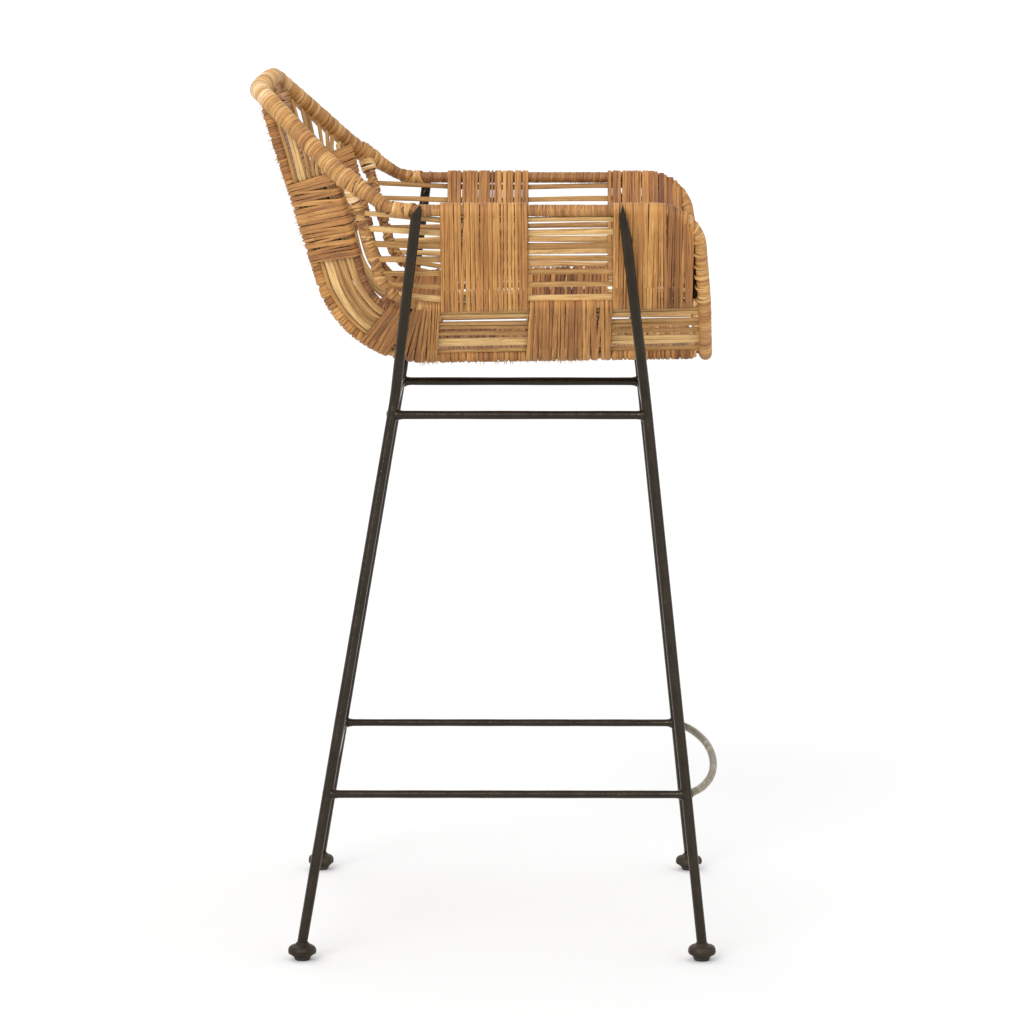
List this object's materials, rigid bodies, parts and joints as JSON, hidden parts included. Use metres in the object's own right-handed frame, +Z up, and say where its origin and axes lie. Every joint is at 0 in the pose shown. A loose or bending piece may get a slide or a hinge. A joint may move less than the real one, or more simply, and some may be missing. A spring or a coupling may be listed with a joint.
{
  "type": "bar stool",
  "caption": "Tall bar stool: a woven cane bucket seat with arms, hung in a splayed steel rod frame with a bowed footrest hoop.",
  "frame": {"origin": "on the floor, under the middle of the whole stool", "axes": "+Z up; the sitter faces -Y; the sitter's right hand is on -X"},
  "size_m": [0.5574, 0.5463, 1.006],
  "materials": {
    "frame_steel": "dark brown-black satin steel rod",
    "footrest_steel": "dark steel rubbed brighter by shoes",
    "foot_cap": "dark bronze-brown pressed cap",
    "foot_pad": "matt dark glide",
    "wrapped_pole": "rattan pole bound with fine cane turns",
    "open_rods": "flat split cane, tan",
    "dense_cane": "golden-brown cane strips wrapped close together"
  },
  "bodies": {
    "root": {"arm_rods_left": "open_rods", "arm_rods_right": "open_rods", "arm_wrap_0_left": "dense_cane", "arm_wrap_0_right": "dense_cane", "arm_wrap_2_left": "dense_cane", "arm_wrap_2_right": "dense_cane", "centre_rods": "open_rods", "centre_wrap_1": "dense_cane", "centre_wrap_3": "dense_cane", "centre_wrap_5": "dense_cane", "flank_rods_left": "open_rods", "flank_rods_right": "open_rods", "flank_wrap_1_left": "dense_cane", "flank_wrap_1_right": "dense_cane", "flank_wrap_3_left": "dense_cane", "flank_wrap_3_right": "dense_cane", "flank_wrap_5_left": "dense_cane", "flank_wrap_5_right": "dense_cane", "foot_cap_front_left": "foot_cap", "foot_cap_front_right": "foot_cap", "foot_cap_rear_left": "foot_cap", "foot_cap_rear_right": "foot_cap", "foot_cross_bar_rear": "frame_steel", "foot_pad_front_left": "foot_pad", "foot_pad_front_right": "foot_pad", "foot_pad_rear_left": "foot_pad", "foot_pad_rear_right": "foot_pad", "foot_side_bar_left": "frame_steel", "foot_side_bar_right": "frame_steel", "footrest_hoop": "footrest_steel", "front_rail": "wrapped_pole", "inner_pole_left": "wrapped_pole", "inner_pole_right": "wrapped_pole", "leg_front_left": "frame_steel", "leg_front_right": "frame_steel", "leg_rear_left": "frame_steel", "leg_rear_right": "frame_steel", "mid_pole_left": "wrapped_pole", "mid_pole_right": "wrapped_pole", "rim_left": "wrapped_pole", "rim_right": "wrapped_pole", "seat_cross_bar_front": "frame_steel", "seat_cross_bar_rear": "frame_steel", "seat_rods_left": "open_rods", "seat_rods_right": "open_rods", "seat_side_bar_left": "frame_steel", "seat_side_bar_right": "frame_steel", "seat_wrap_0_left": "dense_cane", "seat_wrap_0_right": "dense_cane", "seat_wrap_2_left": "dense_cane", "seat_wrap_2_right": "dense_cane", "seat_wrap_4_left": "dense_cane", "seat_wrap_4_right": "dense_cane", "seat_wrap_6_left": "dense_cane", "seat_wrap_6_right": "dense_cane", "spine_pole_left": "wrapped_pole", "spine_pole_right": "wrapped_pole", "top_rail": "wrapped_pole", "wing_pole_left": "wrapped_pole", "wing_pole_right": "wrapped_pole"}
  },
  "joints": []
}
